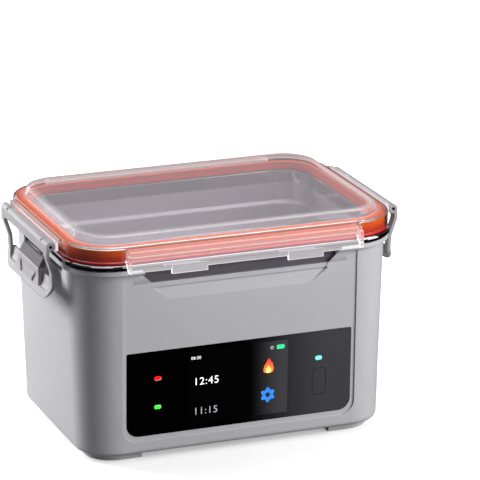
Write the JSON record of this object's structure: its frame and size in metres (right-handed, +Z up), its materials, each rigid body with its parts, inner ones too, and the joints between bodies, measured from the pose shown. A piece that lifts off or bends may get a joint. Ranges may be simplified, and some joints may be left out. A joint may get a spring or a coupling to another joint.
{
  "type": "electric lunch box",
  "caption": "Battery-heated lunch box: drafted housing with a touch display, lift-out steel pot, clear lift-off lid with a red gasket and hinged side latches.",
  "frame": {"origin": "on the floor under the middle of the box", "axes": "+X to the right seen from the display side, +Y to the rear, +Z up; the display faces -Y"},
  "size_m": [0.2366, 0.1764, 0.1491],
  "materials": {
    "housing_plastic": "fine satin",
    "base_plastic": "fine satin",
    "foot_rubber": "matt",
    "screw_steel": "satin",
    "front_glass": "gloss",
    "display_panel": "gloss",
    "circuit_board": "satin",
    "light_pipe": "clear",
    "button_plastic": "satin",
    "switch_plastic": "satin",
    "well_aluminium": "satin",
    "seal_rubber": "matt",
    "plate_aluminium": "as cast",
    "heating_film": "gloss",
    "insulation_felt": "felt",
    "deck_plastic": "satin",
    "cell_can": "shrink sleeve",
    "strap_metal": "satin",
    "pot_steel": "polished",
    "lid_clear": "clear",
    "gasket_rubber": "satin",
    "latch_plastic": "fine satin",
    "pin_steel": "satin"
  },
  "bodies": {
    "base": {"housing": "housing_plastic", "base_cover": "base_plastic", "corner_feet": "foot_rubber", "base_screws": "screw_steel", "front_glass": "front_glass", "display_module": "display_panel", "display_board": "circuit_board", "light_pipes": "light_pipe", "button_switch": "switch_plastic", "heating_well": "well_aluminium", "well_seal": "seal_rubber", "heater_plate": "plate_aluminium", "heater_film": "heating_film", "insulation_wrap": "insulation_felt", "insulation_pad": "insulation_felt", "heater_deck": "deck_plastic", "deck_screws": "screw_steel", "thermal_fuse": "switch_plastic", "temperature_sensor": "switch_plastic", "main_board": "circuit_board", "buzzer": "switch_plastic", "battery_cells": "cell_can", "cell_holder": "deck_plastic", "cell_straps": "strap_metal", "battery_board": "circuit_board", "charging_inlet": "switch_plastic", "inlet_nut": "screw_steel"},
    "pot": {"food_pot": "pot_steel"},
    "lid": {"lid": "lid_clear", "lid_gasket": "gasket_rubber", "hinge_pins": "pin_steel"},
    "left_latch": {"latch_left": "latch_plastic"},
    "right_latch": {"latch_right": "latch_plastic"},
    "button": {"power_button": "button_plastic"}
  },
  "joints": [
    {"name": "pot_lift", "type": "slide", "parent": "base", "child": "pot", "axis": [0, 0, 1], "range_m": [0, 0.08]},
    {"name": "lid_lift", "type": "slide", "parent": "pot", "child": "lid", "axis": [0, 0, 1], "range_m": [0, 0.08]},
    {"name": "left_latch_hinge", "type": "hinge", "parent": "lid", "child": "left_latch", "pos_m": [-0.1154, 0, 0.1389], "axis": [0, 1, 0], "range_deg": [-5, 115]},
    {"name": "right_latch_hinge", "type": "hinge", "parent": "lid", "child": "right_latch", "pos_m": [0.1154, 0, 0.1389], "axis": [0, -1, 0], "range_deg": [-5, 115]},
    {"name": "power_button_press", "type": "slide", "parent": "base", "child": "button", "axis": [0, 0.9995, 0.0314], "range_m": [0, 0.0008], "stiffness_N_per_m": 800}
  ]
}
